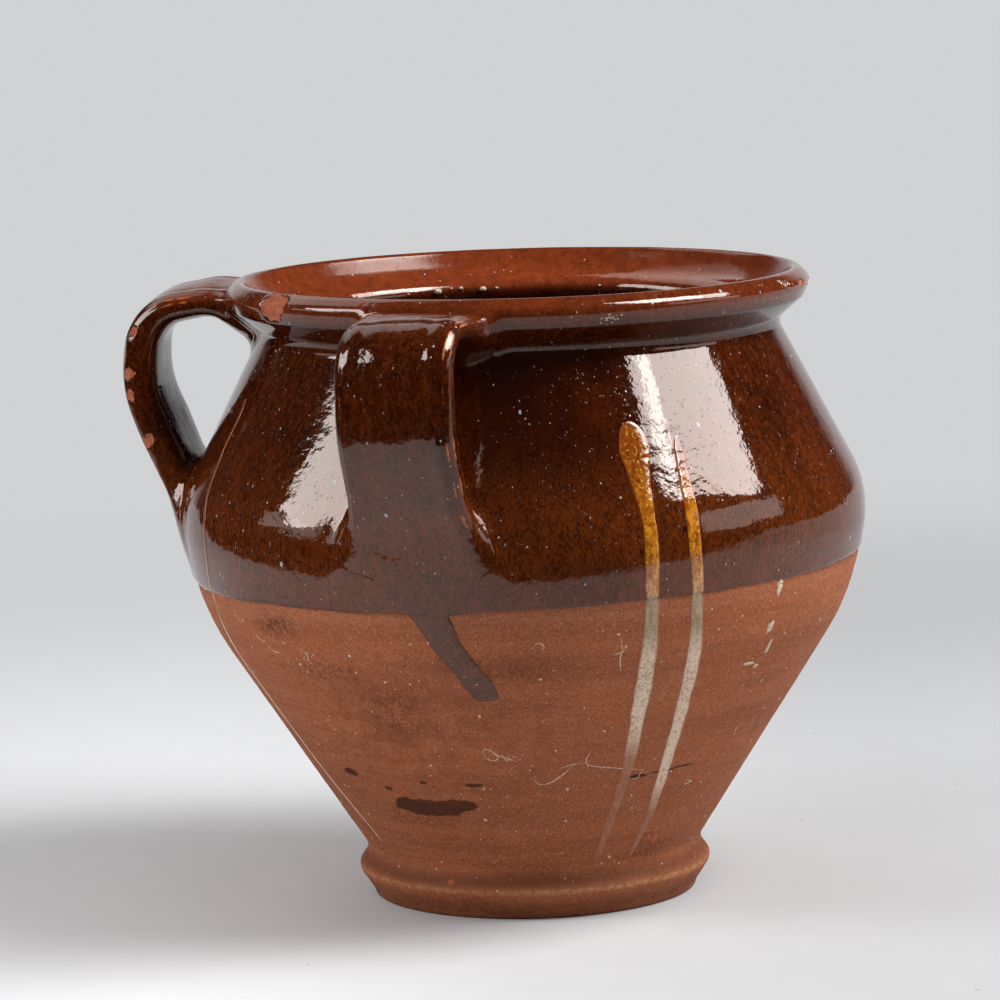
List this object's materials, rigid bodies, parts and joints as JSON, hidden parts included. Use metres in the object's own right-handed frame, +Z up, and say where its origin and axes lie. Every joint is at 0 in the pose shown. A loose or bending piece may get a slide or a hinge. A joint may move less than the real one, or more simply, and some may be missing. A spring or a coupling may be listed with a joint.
{
  "type": "two-handled cooking jar",
  "caption": "Round-bellied red earthenware jar with a rolled lip, a narrow foot, pulled strap handles set side by side, and a dark brown glaze over its upper half.",
  "frame": {"origin": "centre of the foot's flat resting face", "axes": "+Z up the jar's own axis, towards the mouth; front_handle points 4.8 degrees from -Y towards -X, and side_handle 4.8 degrees from -X towards -Y, so the jar is held from between -X and -Y"},
  "size_m": [0.2434, 0.2433, 0.2043],
  "materials": {
    "red_earthenware": "matt",
    "brown_lead_glaze": "glossy",
    "amber_glaze": "glossy"
  },
  "bodies": {
    "root": {"thrown_body": "red_earthenware", "side_handle": "brown_lead_glaze", "front_handle": "brown_lead_glaze", "dark_glaze_run": "brown_lead_glaze", "amber_glaze_runs": "amber_glaze"}
  },
  "joints": []
}
